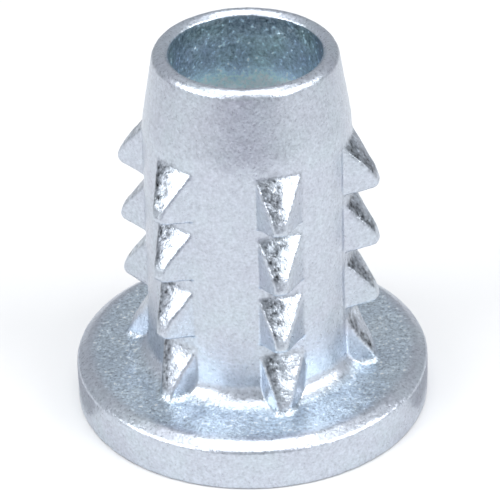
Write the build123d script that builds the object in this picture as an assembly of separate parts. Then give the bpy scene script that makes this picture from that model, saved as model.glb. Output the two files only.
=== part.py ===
from build123d import *
import math
import os

# Barbed insert nut, one zinc casting, standing on its flange.
# Millimetres. Origin: centre of the flange's bottom face. +Z: along the bore, towards the nose.

# ---- driving dimensions -------------------------------------------------
overall_h = 16.15         # flange face to nose end

flange_r = 7.35           # flange outer radius
flange_t = 2.1            # flange thickness
rim_bevel_w = 0.48        # bevelled upper rim edge, across
rim_bevel_h = 0.32        # and down
rim_bevel_round = 0.12    # both edges of that bevel
flange_low_break = 0.08   # lower rim edge
root_fillet = 0.5         # stem and barb feet to flange

stem_r_low = 4.27         # stem radius at the flange (draft)
stem_r_high = 4.19        # stem radius at the shoulder
shoulder_z = 13.0         # where the stem turns into the nose cone
nose_r = 3.665            # nose radius at its end, before rounding
nose_round = 0.35         # outer edge of the nose end
shoulder_blend = 3.0      # soft turn from the stem to the nose cone

nose_bore_r = 3.06        # plain relief bore through the nose
nose_bore_z = 11.4        # lower end of the relief bore
mouth_break = 0.18        # nose mouth chamfer
thread_minor_r = 2.5      # M6 thread, minor radius (thread flanks not cut here)
thread_lead_in_r = 3.1    # 45 degree lead-in at the flange face

barb_rows = 4             # barbs in a column
die_angle = -13.9         # opening direction of the front die half, from -Y towards +X, degrees
column_angles = [31.2, 91.6, 148.8, -148.8, -91.6, -31.2]   # columns, from the die's opening direction
barb_half_angle = 13.6    # half of the base width, seen from the axis
barb_base_r = 4.20        # radius of the top and base corners
barb_apex_r = 5.68        # radius where the two flanks would meet
barb_nose_round = 0.27    # radius of the blunt point, in plan
barb_top_z = 12.53        # top edge of the uppermost barb
barb_pitch = 2.705        # from barb to barb
barb_base_h = 2.04        # top edge to underside
barb_drop = 1.58          # top edge to the lower end of the sloping face
barb_reach_r = 5.44       # radius at the lower end of the sloping face
barb_edge_round = 0.10    # small radius round the barb's upper and lower edges
last_barb_drop = 1.75     # the lowest barb's sloping face, which ends in a foot on the flange
barb_skew = [-5.0, -2.0, 2.8, -2.8, 2.0, 2.8]   # points lean towards the two die halves, degrees

core_r = 3.7              # how far the barbs' roots reach into the wall


def at(r, deg, z=0.0):
    # a point at radius r, angle deg from -Y towards +X
    a = math.radians(deg)
    return (r * math.sin(a), -r * math.cos(a), z)


# ---- turned form: flange, stem, nose and stepped bore -------------------
lead_in_h = thread_lead_in_r - thread_minor_r
step_h = nose_bore_r - thread_minor_r

with BuildSketch(Plane.XZ) as section:
    with BuildLine():
        Polyline(
            (thread_lead_in_r, 0),
            (flange_r, 0),
            (flange_r, flange_t - rim_bevel_h),
            (flange_r - rim_bevel_w, flange_t),
            (stem_r_low, flange_t),
            (stem_r_high, shoulder_z),
            (nose_r, overall_h),
            (nose_bore_r, overall_h),
            (nose_bore_r, nose_bore_z),
            (thread_minor_r, nose_bore_z - step_h),
            (thread_minor_r, lead_in_h),
            close=True,
        )
    make_face()

    def corner_local(x, z):
        best = None
        for v in section.vertices():
            d = (v.X - x) ** 2 + (v.Y - z) ** 2
            if best is None or d < best[0]:
                best = (d, v)
        return best[1]

    fillet(corner_local(flange_r, flange_t - rim_bevel_h), rim_bevel_round)
    fillet(corner_local(flange_r - rim_bevel_w, flange_t), rim_bevel_round)
    chamfer(corner_local(flange_r, 0), flange_low_break)
    fillet(corner_local(stem_r_high, shoulder_z), shoulder_blend)
    fillet(corner_local(nose_r, overall_h), nose_round)
    chamfer(corner_local(nose_bore_r, overall_h), mouth_break)

turned = revolve(section.sketch, Axis.Z)


# ---- barbs --------------------------------------------------------------
def barb(phi, skew, top_z, low_z, drop):
    # plan: two flanks that meet in a blunt point
    left = at(barb_base_r, phi - barb_half_angle)
    right = at(barb_base_r, phi + barb_half_angle)
    tip = at(barb_apex_r, phi + skew)
    root_l = at(core_r, phi - barb_half_angle)
    root_r = at(core_r, phi + barb_half_angle)
    outline = make_face(Polyline(tip, right, root_r, root_l, left, close=True))
    point = outline.vertices().sort_by(lambda v: -math.hypot(v.X, v.Y))[0]
    outline = fillet(point, barb_nose_round)
    blade = extrude(Pos(0, 0, low_z) * outline, top_z - low_z)
    # side view: sloping top face, short blunt nose, level underside
    slope_end = top_z - drop
    side = make_face(
        Plane.XZ
        * Polyline(
            (core_r - 0.5, low_z),
            (barb_reach_r + 0.4, low_z),
            (barb_reach_r + 0.4, slope_end - 0.4 * drop / (barb_reach_r - barb_base_r)),
            (barb_base_r, top_z),
            (core_r - 0.5, top_z),
            close=True,
        )
    )
    solid = (blade & revolve(side, Axis.Z)).solids()[0]
    # cast edges: the rims of the sloping face, and of the underside where there is one
    soft = [
        e
        for e in solid.edges()
        if math.hypot(e.center().X, e.center().Y) > barb_base_r + 0.3
        and abs(e.tangent_at(0.5).Z) < 0.95
        and e.center().Z > flange_t
    ]
    return fillet(soft, barb_edge_round)


def columns():
    for deg, skew in zip(column_angles, barb_skew):
        yield die_angle + deg, skew


# the lowest barbs stand on the flange, and one fillet runs round the stem and their feet
body = turned
last_top = barb_top_z - (barb_rows - 1) * barb_pitch
for phi, skew in columns():
    body = body + barb(phi, skew, last_top, flange_t - 0.4, last_barb_drop)
foot = [
    e
    for e in body.edges()
    if all(abs(v.Z - flange_t) < 1e-4 for v in e.vertices())
    and 3.9 < math.hypot(e.center().X, e.center().Y) < 6.2
]
print("foot edges", len(foot))
body = fillet(foot, root_fillet)
print("filleted", body.is_valid, body.volume)

for phi, skew in columns():
    for row in range(barb_rows - 1):
        top_z = barb_top_z - row * barb_pitch
        body = body + barb(phi, skew, top_z, top_z - barb_base_h, barb_drop)

print("solids", len(body.solids()), "volume", body.volume, "valid", body.is_valid)
print("bbox", body.bounding_box())

os.makedirs("parts", exist_ok=True)
export_step(body.solids()[0], "parts/insert_nut.step")
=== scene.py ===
import math

import bpy
import numpy as np
from mathutils import Matrix, Vector


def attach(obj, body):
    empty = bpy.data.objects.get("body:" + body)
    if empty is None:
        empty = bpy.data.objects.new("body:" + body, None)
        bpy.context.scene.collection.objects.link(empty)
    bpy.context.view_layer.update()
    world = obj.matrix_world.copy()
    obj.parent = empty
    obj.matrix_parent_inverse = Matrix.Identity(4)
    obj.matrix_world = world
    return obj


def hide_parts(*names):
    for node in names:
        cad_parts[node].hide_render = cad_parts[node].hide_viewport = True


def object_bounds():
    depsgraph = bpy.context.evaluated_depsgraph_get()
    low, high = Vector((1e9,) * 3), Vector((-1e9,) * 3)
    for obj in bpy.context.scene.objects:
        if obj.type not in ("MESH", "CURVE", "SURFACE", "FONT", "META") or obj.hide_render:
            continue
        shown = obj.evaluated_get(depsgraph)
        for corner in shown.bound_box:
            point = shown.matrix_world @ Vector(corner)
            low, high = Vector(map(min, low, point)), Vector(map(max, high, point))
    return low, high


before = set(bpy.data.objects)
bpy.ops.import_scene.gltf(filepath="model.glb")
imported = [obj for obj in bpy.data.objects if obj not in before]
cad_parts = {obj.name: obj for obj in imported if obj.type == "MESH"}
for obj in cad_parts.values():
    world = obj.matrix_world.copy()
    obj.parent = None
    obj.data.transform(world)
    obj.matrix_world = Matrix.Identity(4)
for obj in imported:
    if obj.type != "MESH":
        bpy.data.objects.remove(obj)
cad_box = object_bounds()

# ---------------------------------------------------------------- sizes, mm
H = 16.15
FLANGE_R, FLANGE_T = 7.35, 2.1
BEVEL_W, BEVEL_H = 0.48, 0.32
STEM_LOW, STEM_HIGH, SHOULDER_Z, NOSE_R = 4.27, 4.19, 13.0, 3.665
BORE_R, BORE_Z, MINOR_R, LEAD_R = 3.06, 11.4, 2.5, 3.1
PITCH, MAJOR_R = 1.0, 3.0
DIE = -13.9
COLUMNS = [31.2, 91.6, 148.8, -148.8, -91.6, -31.2]
SKEW = [-5.0, -2.0, 2.8, -2.8, 2.0, 2.8]
HALF, BASE_R, APEX_R, REACH_R, POINT_R = 13.6, 4.20, 5.78, 5.44, 5.47
TOP_Z, BARB_PITCH, BASE_H, DROP, LAST_DROP = 12.53, 2.705, 2.04, 1.58, 2.15

STEP = 0.065
MOST_FACES = 190000


# ---------------------------------------------------------------- fields
def round_and(a, b, r):
    # both, with a convex edge of radius r
    return np.minimum(np.maximum(a, b), -r) + np.sqrt(np.maximum(a + r, 0) ** 2 + np.maximum(b + r, 0) ** 2)


def round_or(a, b, r):
    # either, with a concave fillet of radius r
    return np.maximum(np.minimum(a, b), r) - np.sqrt(np.maximum(r - a, 0) ** 2 + np.maximum(r - b, 0) ** 2)


def soft_or(a, b, k):
    # either, blended over a band of width k, for surfaces that meet at a shallow angle
    h = np.maximum(k - np.abs(a - b), 0) / k
    return np.minimum(a, b) - h * h * k * 0.25


xs = np.arange(-7.35 - 2.5 * STEP, 7.35 + 3.5 * STEP, STEP, dtype=np.float32)
zs = np.arange(-2.5 * STEP, H + 3.5 * STEP, STEP, dtype=np.float32)
X, Y = np.meshgrid(xs, xs, indexing="ij")
R2 = np.hypot(X, Y)
PHI = np.arctan2(X, -Y)          # from -Y towards +X

# turned shapes are worked out in the (r, z) plane and then swept round
rr = np.arange(0, float(R2.max()) + STEP, STEP / 2, dtype=np.float32)[:, None]
zz = zs[None, :]
bevel_n = math.hypot(BEVEL_W, BEVEL_H)
bevel2 = ((rr - FLANGE_R + BEVEL_W) * BEVEL_H + (zz - FLANGE_T) * BEVEL_W) / bevel_n
flange2 = round_and(round_and(rr - FLANGE_R + 0 * zz, bevel2, 0.10), zz - FLANGE_T + 0 * rr, 0.08)
flange2 = round_and(flange2, -zz + 0 * rr, 0.09)
ma, mb = (STEM_HIGH - STEM_LOW) / (SHOULDER_Z - FLANGE_T), (NOSE_R - STEM_HIGH) / (H - SHOULDER_Z)
ZB = 0.45                        # half height of the soft turn from the stem to the nose cone
turn = np.clip((zz - SHOULDER_Z + ZB) / (2 * ZB), 0, 1)
side_r = STEM_HIGH + ma * (zz - SHOULDER_Z) + (mb - ma) * np.where(zz > SHOULDER_Z + ZB, zz - SHOULDER_Z, ZB * turn ** 2)
side_m = ma + (mb - ma) * turn
body2 = (rr - side_r) / np.sqrt(1 + side_m ** 2)
body2 = round_and(body2, zz - H + 0 * rr, 0.36)
body2 = np.maximum(body2, 0.5 - zz)
lead2 = (LEAD_R - zz - rr) * 0.7071
plain2 = np.maximum(MINOR_R - rr + 0 * zz, lead2)
step2 = np.where(zz > BORE_Z, BORE_R - rr, np.minimum(BORE_R - rr, (MINOR_R + (zz - (BORE_Z - (BORE_R - MINOR_R))) - rr) * 0.7071))
mouth2 = (BORE_R + (zz - H + 0.18) * 1.15 - rr) * 0.656
hole2 = np.maximum(np.maximum(plain2, step2), mouth2)


def sweep(table):
    i = np.clip(R2 / (STEP / 2), 0, len(rr) - 2)
    k = i.astype(np.int32)
    f = (i - k).astype(np.float32)[:, :, None]
    t = table.astype(np.float32)
    return t[k] * (1 - f) + t[k + 1] * f


flange = sweep(flange2)
field = round_or(sweep(body2), flange, 0.85)

# the cast skin: an even random grain, about 0.3 mm from crest to crest
rng = np.random.default_rng(7)
skin = rng.standard_normal(field.shape, dtype=np.float32)
for axis in (0, 1, 2):
    for _ in range(3):
        skin = (np.roll(skin, 1, axis) + np.roll(skin, -1, axis)) * 0.25 + skin * 0.5
skin /= skin.std()


def spread(n, gap):
    # cubic weights that carry a coarse lattice to the grid
    w = np.zeros((n, n // gap + 5), np.float32)
    for i in range(n):
        k, f = i // gap, (i % gap) / gap
        w[i, k:k + 4] = (1 - f) ** 3 / 6, (3 * f ** 3 - 6 * f ** 2 + 4) / 6, (-3 * f ** 3 + 3 * f ** 2 + 3 * f + 1) / 6, f ** 3 / 6
    return w


# and a slower unevenness, about 0.6 mm from crest to crest
gap = max(2, int(round(0.32 / STEP)))
wx, wz = spread(len(xs), gap), spread(len(zs), gap)
wave = np.tensordot(wx, rng.standard_normal((wx.shape[1], wx.shape[1], wz.shape[1]), dtype=np.float32), (1, 0))
wave = np.tensordot(wave, wx, (1, 1))
wave = np.tensordot(wave, wz, (1, 1))
wave /= wave.std()
# how strong it is: fine on the stem, coarse on the flange's face and down the bore
on_top = np.exp(-((zz - FLANGE_T) / 0.25) ** 2) * np.clip((rr - 4.4) / 0.4, 0, 1) * np.clip((6.85 - rr) / 0.4, 0, 1)
in_bore = np.clip((3.35 - rr) / 0.15, 0, 1) * np.clip((zz - 3.0) / 1.0, 0, 1) * np.clip((H - 0.15 - zz) / 0.2, 0, 1)
coarse_and_reflection = sweep(np.maximum(on_top, in_bore))
bore_mask = sweep(in_bore)
face_dull_and_shade_mask = np.zeros_like(field)
fine_h = sweep(0.0025 + 0.0030 * on_top + 0.0045 * in_bore)
wave_h = sweep(0.0025 + 0.0095 * on_top + 0.0075 * in_bore)


def barb(phi_deg, skew_deg, top_z, low_z, drop, share):
    """The field of one barb on its own block of the grid."""
    a = math.radians(phi_deg)
    ca, sa = math.cos(a), math.sin(a)
    cx, cy = 4.9 * sa, -4.9 * ca
    ix = np.where(np.abs(xs - cx) < 2.3)[0]
    iy = np.where(np.abs(xs - cy) < 2.3)[0]
    iz = np.where((zs > low_z - 0.9) & (zs < top_z + 0.7))[0]
    sl = (slice(ix[0], ix[-1] + 1), slice(iy[0], iy[-1] + 1), slice(iz[0], iz[-1] + 1))
    x, y, z = X[sl[0], sl[1]][:, :, None], Y[sl[0], sl[1]][:, :, None], zs[sl[2]][None, None, :]
    u, v = x * sa - y * ca, x * ca + y * sa
    d, s = math.radians(HALF), math.radians(skew_deg)
    ub, vb = BASE_R * math.cos(d), BASE_R * math.sin(d)
    ua, va = APEX_R * math.cos(s), APEX_R * math.sin(s)
    ln = math.hypot(ua - ub, va - vb)
    right = ((u - ub) * -(va - vb) + (v - vb) * (ua - ub)) / ln
    ln = math.hypot(ua - ub, va + vb)
    left = ((u - ub) * (va + vb) - (v + vb) * (ua - ub)) / ln
    plan = round_and(left, right, 0.25)
    # sloping face: straight lines from the level arc on the stem down to the point
    A = APEX_R ** 2 - BASE_R ** 2
    b = 2 * BASE_R ** 2 - 2 * (u * ua + v * va)
    c = u * u + v * v - BASE_R ** 2
    k = (-b - np.sqrt(np.maximum(b * b - 4 * A * c, 0))) / (2 * A)
    m = drop / (REACH_R - BASE_R)
    slope = (z - top_z + m * (APEX_R - BASE_R) * k) / math.hypot(m, 1.0)
    slope = slope + (0.0030 * skin[sl] + 0.008 * wave[sl]) * np.clip((u - BASE_R) / 0.15, 0, 1)
    nose = u * math.cos(s) + v * math.sin(s) - POINT_R
    side = round_and(slope, nose + 0 * z, 0.38)
    if low_z > FLANGE_T:
        # the underside falls a little towards the stem
        side = round_and(side, low_z - 0.17 + 0.16 * (u - BASE_R) - z, 0.30)
    else:
        side = np.maximum(side, low_z - z)
    blade = round_and(plan + 0 * z, side, 0.09)
    blade = np.maximum(blade, 3.6 - u)
    face = np.exp(-(slope / 0.12) ** 2) * np.clip(-plan / 0.06, 0, 1) * np.clip((u - BASE_R + 0.05) / 0.1, 0, 1) * np.clip((POINT_R - 0.15 - u) / 0.15, 0, 1)
    # one side of the face is rough and dull and also darkened as painted shade, up to an uneven line that runs down
    # to the point
    down = np.clip((u - BASE_R) / (POINT_R - BASE_R), 0, 1)
    line = (1 - down) * (2 * share - 1) * HALF + down * skew_deg
    dull_and_painted_shade = np.clip((line - np.degrees(np.arctan2(v, u))) / 2.0 + 0.5 + 0.9 * wave[sl], 0, 1)
    return sl, blade, face, 0.20 + 0.80 * dull_and_painted_shade


for col, (deg, skew) in enumerate(zip(COLUMNS, SKEW)):
    for row in range(4):
        top = TOP_Z - row * BARB_PITCH + rng.uniform(-0.03, 0.03)
        low = 0.9 if row == 3 else TOP_Z - row * BARB_PITCH - BASE_H
        share = (0.52, 0.46, 0.48, 0.30)[row]
        sl, b, face, dull_and_painted_shade = barb(DIE + deg + rng.uniform(-0.4, 0.4), skew + rng.uniform(-0.5, 0.5), top, low, LAST_DROP if row == 3 else DROP, share)
        b = b.astype(np.float32)
        field[sl] = soft_or(field[sl], b, 0.09)
        if row == 3:
            # a small fillet round its foot
            field[sl] = np.minimum(field[sl], round_or(b, flange[sl], 0.28))
            face = face * np.clip((zs[sl[2]] - FLANGE_T - 0.2) / 0.2, 0, 1)
        coarse_and_reflection[sl] = np.maximum(coarse_and_reflection[sl] * (1 - face), 0.22 * face)
        # the faces keep their dull side, darkened partly as painted shade
        face_dull_and_shade_mask[sl] = np.maximum(face_dull_and_shade_mask[sl], face * dull_and_painted_shade)

# faint upright lines where the die's faces met
for line, tall, wide in ((61.0, 0.022, 0.10), (-80.0, 0.022, 0.10), (-103.9, 0.012, 0.10), (166.0, 0.012, 0.10)):
    off = (np.mod(np.degrees(PHI) - line + 180, 360) - 180) * math.pi / 180 * R2
    ridge = np.where(np.abs(off) < 0.5, np.exp(-(off / wide) ** 2), 0) * (R2 > 3.8)
    up = np.clip((zs - 2.5) / 0.5, 0, 1) * np.clip((13.6 - zs) / 0.8, 0, 1)
    field -= (tall * ridge[:, :, None] * up[None, None, :]).astype(np.float32)

field = np.maximum(field, -zs[None, None, :])
del flange

# stepped bore with its thread
hole = sweep(hole2)
w = np.abs(np.mod(zs[None, None, :] / PITCH - PHI[:, :, None] / (2 * math.pi), 1.0) - 0.5) * PITCH
groove = MAJOR_R - 1.732 * np.maximum(w - PITCH / 16, 0)
groove = (np.where(zs[None, None, :] < BORE_Z, groove, 0.0) - R2[:, :, None]) * 0.6
hole = -round_or(-hole, -groove.astype(np.float32), 0.04)
del w, groove
field = round_and(field, hole, 0.08).astype(np.float32)
del hole
field += skin * fine_h + wave * wave_h
del fine_h, wave_h


# ---------------------------------------------------------------- surface
def surface(F):
    """Watertight quads round the zero of F: one point in each cell that the surface crosses."""
    inside = F < 0
    n = F.shape
    c = inside[:-1, :-1, :-1].astype(np.int8)
    total = c.copy()
    corners = [(0, 0, 0), (1, 0, 0), (0, 1, 0), (1, 1, 0), (0, 0, 1), (1, 0, 1), (0, 1, 1), (1, 1, 1)]
    for dx, dy, dz in corners[1:]:
        total += inside[dx:n[0] - 1 + dx, dy:n[1] - 1 + dy, dz:n[2] - 1 + dz]
    active = (total > 0) & (total < 8)
    I, J, K = np.nonzero(active)
    val = np.stack([F[I + a, J + b, K + c] for a, b, c in corners], 1)
    cor = np.array(corners, np.float32)
    acc = np.zeros((len(I), 3), np.float32)
    cnt = np.zeros(len(I), np.float32)
    for p in range(8):
        for q in range(p + 1, 8):
            if abs(cor[p] - cor[q]).sum() != 1:
                continue
            fa, fb = val[:, p], val[:, q]
            cross = (fa < 0) != (fb < 0)
            t = np.where(cross, fa / np.where(cross, fa - fb, 1), 0)[:, None]
            acc += np.where(cross[:, None], cor[p] + (cor[q] - cor[p]) * t, 0)
            cnt += cross
    pts = (acc / cnt[:, None] + np.stack([I, J, K], 1)).astype(np.float32)
    index = np.full(active.shape, -1, np.int32)
    index[I, J, K] = np.arange(len(I), dtype=np.int32)
    quads = []
    for axis in range(3):
        a = [slice(None)] * 3
        b = [slice(None)] * 3
        a[axis], b[axis] = slice(0, -1), slice(1, None)
        change = inside[tuple(a)] != inside[tuple(b)]
        i, j, k = np.nonzero(change)
        out = inside[tuple(a)][i, j, k]
        e = np.stack([i, j, k], 1)
        o1, o2 = [(1, 2), (2, 0), (0, 1)][axis]
        ok = (e[:, o1] > 0) & (e[:, o2] > 0)
        e, out = e[ok], out[ok]
        cells = []
        for d1, d2 in ((0, 0), (-1, 0), (-1, -1), (0, -1)):
            s = e.copy()
            s[:, o1] += d1
            s[:, o2] += d2
            cells.append(index[s[:, 0], s[:, 1], s[:, 2]])
        q = np.stack(cells, 1)
        q[~out] = q[~out][:, ::-1]
        quads.append(q)
    return pts, np.concatenate(quads)


def sample(F, p):
    """Value and gradient of F at grid points p, by trilinear interpolation."""
    i = np.clip(np.floor(p).astype(np.int32), 0, np.array(F.shape) - 2)
    t = p - i
    out = 0
    g = np.zeros_like(p)
    for a in (0, 1):
        wa = t[:, 0] if a else 1 - t[:, 0]
        for b in (0, 1):
            wb = t[:, 1] if b else 1 - t[:, 1]
            for c in (0, 1):
                wc = t[:, 2] if c else 1 - t[:, 2]
                v = F[i[:, 0] + a, i[:, 1] + b, i[:, 2] + c]
                out = out + wa * wb * wc * v
                g[:, 0] += (1 if a else -1) * wb * wc * v
                g[:, 1] += wa * (1 if b else -1) * wc * v
                g[:, 2] += wa * wb * (1 if c else -1) * v
    return out, g


points, quads = surface(field)
origin = np.array([xs[0], xs[0], zs[0]])


def to_mm(p):
    return p * STEP + origin


def make_mesh(name, co, faces):
    me = bpy.data.meshes.new(name)
    me.vertices.add(len(co))
    me.vertices.foreach_set("co", np.ascontiguousarray(co, np.float32).ravel())
    k = faces.shape[1]
    me.loops.add(faces.size)
    me.polygons.add(len(faces))
    me.loops.foreach_set("vertex_index", np.ascontiguousarray(faces, np.int32).ravel())
    me.polygons.foreach_set("loop_start", np.arange(0, faces.size, k, dtype=np.int32))
    me.update(calc_edges=True)
    me.validate()
    return me


raw = make_mesh("nut_raw", to_mm(points), quads)
tmp = bpy.data.objects.new("nut_raw", raw)
bpy.context.scene.collection.objects.link(tmp)
mod = tmp.modifiers.new("thin", "DECIMATE")
mod.decimate_type = "COLLAPSE"
mod.ratio = min(1.0, MOST_FACES / (2.0 * len(quads)))
mod.use_collapse_triangulate = True
deps = bpy.context.evaluated_depsgraph_get()
thin = bpy.data.meshes.new_from_object(tmp.evaluated_get(deps))
bpy.data.objects.remove(tmp)
bpy.data.meshes.remove(raw)
print("quads", len(quads), "-> triangles", len(thin.polygons))

# put the points back on the surface, and take the shading normals from the field itself
co = np.zeros(len(thin.vertices) * 3, np.float32)
thin.vertices.foreach_get("co", co)
grid = (co.reshape(-1, 3) - origin) / STEP
for _ in range(2):
    f, g = sample(field, grid)
    g2 = (g * g).sum(1)
    grid = grid - np.clip(f / np.maximum(g2, 1e-6), -0.6, 0.6)[:, None] * g
mm = to_mm(grid)
_, g = sample(field, grid)
normals = g / np.maximum(np.linalg.norm(g, axis=1), 1e-9)[:, None]
lo, hi = (np.array(v, float) * 1000 for v in cad_box)
mm = np.clip(mm, lo, hi)
thin.vertices.foreach_set("co", (mm * 0.001).astype(np.float32).ravel())
thin.name = "insert_nut_cast"
thin.update()
for name, table in (("coarse_and_reflection", coarse_and_reflection), ("bore", bore_mask), ("face", face_dull_and_shade_mask)):
    val, _ = sample(table, grid)
    thin.attributes.new(name, "FLOAT", "POINT").data.foreach_set("value", np.clip(val, 0, 1).astype(np.float32))
nut = bpy.data.objects.new("insert_nut_cast", thin)
bpy.context.scene.collection.objects.link(nut)
thin.polygons.foreach_set("use_smooth", np.ones(len(thin.polygons), bool))
thin.normals_split_custom_set_from_vertices(normals.tolist())

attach(nut, "root")
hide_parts("insert_nut")


# ---------------------------------------------------------------- material
def zinc():
    m = bpy.data.materials.new("cast zinc")
    m.use_nodes = True
    nt = m.node_tree
    nt.nodes.clear()
    out = nt.nodes.new("ShaderNodeOutputMaterial")
    b = nt.nodes.new("ShaderNodeBsdfPrincipled")
    nt.links.new(b.outputs[0], out.inputs[0])
    b.inputs["Metallic"].default_value = 1.0
    tc = nt.nodes.new("ShaderNodeTexCoord")

    def noise(scale, detail, rough):
        n = nt.nodes.new("ShaderNodeTexNoise")
        n.inputs["Scale"].default_value = scale
        n.inputs["Detail"].default_value = detail
        n.inputs["Roughness"].default_value = rough
        nt.links.new(tc.outputs["Object"], n.inputs["Vector"])
        return n.outputs["Fac"]

    def put(node, i, v):
        if isinstance(v, (int, float)):
            node.inputs[i].default_value = v
        else:
            nt.links.new(v, node.inputs[i])

    def calc(op, a, c=0.0, d=0.0):
        n = nt.nodes.new("ShaderNodeMath")
        n.operation = op
        put(n, 0, a)
        put(n, 1, c)
        put(n, 2, d)
        return n.outputs[0]

    def ramp(src, stops):
        r = nt.nodes.new("ShaderNodeValToRGB")
        els = r.color_ramp.elements
        while len(els) < len(stops):
            els.new(0.5)
        for el, (pos, c) in zip(els, stops):
            el.position = pos
            el.color = (*c, 1)
        nt.links.new(src, r.inputs[0])
        return r.outputs[0]

    def mask(name):
        n = nt.nodes.new("ShaderNodeAttribute")
        n.attribute_name = name
        return n.outputs["Fac"]

    def mix(fac, a, c):
        n = nt.nodes.new("ShaderNodeMix")
        n.data_type = "RGBA"
        put(n, 0, fac)
        nt.links.new(a, n.inputs[6])
        nt.links.new(c, n.inputs[7])
        return n.outputs[2]

    coarse_and_reflection, bore, face = mask("coarse_and_reflection"), mask("bore"), mask("face")
    grain = noise(9500.0, 2.5, 0.6)          # fine crystals, about 0.1 mm
    patch = noise(650.0, 2.0, 0.5)           # slow changes of tone
    pits = noise(5200.0, 1.0, 0.5)
    skin_col = ramp(patch, [(0.3, (0.52, 0.55, 0.62)), (0.5, (0.535, 0.575, 0.64)), (0.7, (0.53, 0.585, 0.64))])
    # the bore's colour is darker and bluer than the skin: painted shade inside the hole
    bore_shade_col = ramp(patch, [(0.3, (0.345, 0.405, 0.515)), (0.5, (0.405, 0.495, 0.58)), (0.7, (0.455, 0.575, 0.61))])
    # the top colour is lighter and bluer than the skin: painted reflection of a grey-blue room behind, with the same
    # random tone changes, mixed in where the skin is coarse, mostly on the flange's face
    top_reflection_col = ramp(patch, [(0.3, (0.52, 0.60, 0.685)), (0.5, (0.565, 0.65, 0.73)), (0.7, (0.61, 0.69, 0.755))])
    base = mix(bore, mix(coarse_and_reflection, skin_col, top_reflection_col), bore_shade_col)
    # light and dark specks, stronger where the skin is coarse
    depth = calc("MULTIPLY_ADD", coarse_and_reflection, 0.7, 0.65)
    speck = calc("MULTIPLY", calc("SUBTRACT", grain, 0.5), depth)
    speck = calc("ADD", speck, calc("MULTIPLY", calc("SUBTRACT", pits, 0.5), calc("MULTIPLY_ADD", coarse_and_reflection, 0.7, 0.35)))
    speck = calc("MAXIMUM", calc("ADD", speck, 1.0), 0.35)
    # the rough side of each barb's sloping face is duller, with dark flecks; part of this darkening is painted shade
    fleck_and_painted_shade = calc("MULTIPLY_ADD", calc("SUBTRACT", pits, 0.5), 1.15, -0.50)
    speck = calc("ADD", speck, calc("MULTIPLY", fleck_and_painted_shade, face))
    # bright specks, and a brighter wall lower down the bore: painted light bounced down inside the hole
    glint = calc("MULTIPLY", calc("MAXIMUM", calc("SUBTRACT", pits, 0.64), 0.0), 9.0)
    speck = calc("ADD", speck, calc("MULTIPLY", glint, coarse_and_reflection))
    sep = nt.nodes.new("ShaderNodeSeparateXYZ")
    nt.links.new(tc.outputs["Object"], sep.inputs[0])
    deep_painted_light = nt.nodes.new("ShaderNodeMapRange")
    deep_painted_light.interpolation_type = "SMOOTHSTEP"
    nt.links.new(sep.outputs[2], deep_painted_light.inputs["Value"])
    deep_painted_light.inputs["From Min"].default_value = 0.0142
    deep_painted_light.inputs["From Max"].default_value = 0.0127
    deep_painted_light.inputs["To Min"].default_value = 0.0
    deep_painted_light.inputs["To Max"].default_value = 1.2
    speck = calc("ADD", speck, calc("MULTIPLY", deep_painted_light.outputs[0], bore))
    # a darker band at the top of the bore: painted shade at the lip
    lip_painted_shade = nt.nodes.new("ShaderNodeMapRange")
    lip_painted_shade.interpolation_type = "SMOOTHSTEP"
    nt.links.new(sep.outputs[2], lip_painted_shade.inputs["Value"])
    lip_painted_shade.inputs["From Min"].default_value = 0.0148
    lip_painted_shade.inputs["From Max"].default_value = 0.0158
    lip_painted_shade.inputs["To Min"].default_value = 0.0
    lip_painted_shade.inputs["To Max"].default_value = -0.30
    speck = calc("ADD", speck, calc("MULTIPLY", lip_painted_shade.outputs[0], bore))
    tint = nt.nodes.new("ShaderNodeVectorMath")
    tint.operation = "SCALE"
    nt.links.new(base, tint.inputs[0])
    nt.links.new(speck, tint.inputs["Scale"])
    low = nt.nodes.new("ShaderNodeVectorMath")
    low.operation = "MINIMUM"
    nt.links.new(tint.outputs[0], low.inputs[0])
    low.inputs[1].default_value = (0.93, 0.95, 0.96)
    nt.links.new(low.outputs[0], b.inputs["Base Color"])
    rough = calc("MULTIPLY_ADD", grain, 0.30, 0.17)
    rough = calc("MULTIPLY_ADD", bore, 0.10, rough)
    nt.links.new(rough, b.inputs["Roughness"])
    bump = nt.nodes.new("ShaderNodeBump")
    bump.inputs["Distance"].default_value = 0.00005
    nt.links.new(calc("MULTIPLY_ADD", coarse_and_reflection, 0.45, 0.30), bump.inputs["Strength"])
    nt.links.new(grain, bump.inputs["Height"])
    nt.links.new(bump.outputs[0], b.inputs["Normal"])
    return m


thin.materials.append(zinc())

# ---------------------------------------------------------------- floor, light, camera
bpy.ops.mesh.primitive_plane_add(size=3.0, location=(0, 0, -0.00002))
floor = bpy.context.object
floor.name = "floor"
fm = bpy.data.materials.new("floor")
fm.use_nodes = True
fb = fm.node_tree.nodes["Principled BSDF"]
ft = fm.node_tree
# the floor's colour is 0.74 near the part and falls to 0.48 from 35 to 80 mm out: a painted pool of light
fc = ft.nodes.new("ShaderNodeTexCoord")
fl = ft.nodes.new("ShaderNodeVectorMath")
fl.operation = "LENGTH"
ft.links.new(fc.outputs["Object"], fl.inputs[0])
fr = ft.nodes.new("ShaderNodeValToRGB")
for el, (pos, c) in zip(fr.color_ramp.elements, ((0.035, 0.74), (0.080, 0.48))):
    el.position = pos
    el.color = (c, c, c, 1)
ft.links.new(fl.outputs["Value"], fr.inputs[0])
ft.links.new(fr.outputs[0], fb.inputs["Base Color"])
fb.inputs["Roughness"].default_value = 0.9
floor.data.materials.append(fm)

world = bpy.data.worlds.new("studio")
bpy.context.scene.world = world
world.use_nodes = True
world.node_tree.nodes["Background"].inputs[0].default_value = (0.54, 0.56, 0.59, 1)
world.node_tree.nodes["Background"].inputs[1].default_value = 1.0


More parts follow.
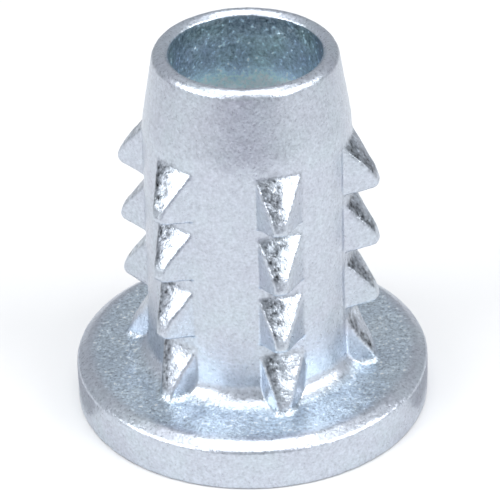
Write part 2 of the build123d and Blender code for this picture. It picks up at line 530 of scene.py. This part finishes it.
def box_light(name, az, el, dist, size, power, color=(1, 1, 1), aim=(0, 0, 0.008)):
    a, e = math.radians(az), math.radians(el)
    d = Vector((math.sin(a) * math.cos(e), -math.cos(a) * math.cos(e), math.sin(e)))
    li = bpy.data.lights.new(name, "AREA")
    li.shape = "RECTANGLE"
    li.size, li.size_y = size
    li.energy = power
    li.color = color
    ob = bpy.data.objects.new(name, li)
    ob.location = Vector(aim) + d * dist
    ob.rotation_euler = (-d).to_track_quat("-Z", "Y").to_euler()
    bpy.context.scene.collection.objects.link(ob)
    return ob


box_light("top", 0, 80, 0.25, (0.22, 0.19), 0.36)
box_light("left", -61, 31, 0.25, (0.19, 0.14), 0.38)
box_light("right", 64, 31, 0.25, (0.19, 0.14), 0.40)

# a grey card lying in front, seen only in the nose cone: painted shade on the floor in front, carried in the nose's
# reflection
bpy.ops.mesh.primitive_plane_add(size=1.0, location=(0.0, -0.105, 0.0005))
card = bpy.context.object
card.name = "front_shade_card"
card.scale = (0.075, 0.13, 1)
card.visible_camera = card.visible_diffuse = card.visible_shadow = False
cm = bpy.data.materials.new("card")
cm.use_nodes = True
cb = cm.node_tree.nodes["Principled BSDF"]
cb.inputs["Base Color"].default_value = (0.38, 0.36, 0.41, 1)
cb.inputs["Roughness"].default_value = 0.9
card.data.materials.append(cm)

# and two narrow ones on the floor beside the flange, seen only in its rim: painted shadow on the floor beside the
# flange, carried in the rim's reflection
cm2 = cm.copy()
cm2.name = "rim card"
cm2.node_tree.nodes["Principled BSDF"].inputs["Base Color"].default_value = (0.38, 0.38, 0.40, 1)
for side_name, sg in (("left", -1), ("right", 1)):
    arc = np.radians(np.linspace(72, 172, 26))
    ring = [(sg * q * math.sin(t), -q * math.cos(t), 0.0001) for t in arc for q in (0.0076, 0.0098)]
    quad = [(2 * i, 2 * i + 1, 2 * i + 3, 2 * i + 2) for i in range(25)]
    rm = bpy.data.meshes.new("rim_shadow_card_" + side_name)
    rm.from_pydata(ring, [], quad)
    rc = bpy.data.objects.new("rim_shadow_card_" + side_name, rm)
    bpy.context.scene.collection.objects.link(rc)
    rc.visible_camera = rc.visible_diffuse = rc.visible_shadow = False
    rm.materials.append(cm2)

E, D, F_PX, ROLL = 32.2592, 15.9668 * 0.00735, 2858.883, 1.3588
e = math.radians(E)
aim = Vector((0.0003 * 0.00735, 0, 0.9158 * 0.00735))
cam_data = bpy.data.cameras.new("camera")
cam_data.sensor_width = 36.0
cam_data.lens = F_PX / 500.0 * 36.0
cam_data.clip_start = 0.005
cam_data.clip_end = 10.0
cam = bpy.data.objects.new("camera", cam_data)
back = Vector((0, -math.cos(e), math.sin(e)))
cam.location = aim + back * D
right_v = Vector((1, 0, 0))
up_v = back.cross(right_v)
roll = math.radians(ROLL)
rx = right_v * math.cos(roll) - up_v * math.sin(roll)
ux = right_v * math.sin(roll) + up_v * math.cos(roll)
rot = Matrix((rx, ux, back)).transposed()
cam.matrix_world = Matrix.Translation(cam.location) @ rot.to_4x4()
bpy.context.scene.collection.objects.link(cam)
bpy.context.scene.camera = cam

sc = bpy.context.scene
sc.view_settings.view_transform = "Standard"
sc.view_settings.look = "None"
sc.cycles.max_bounces = 16
sc.cycles.glossy_bounces = 12
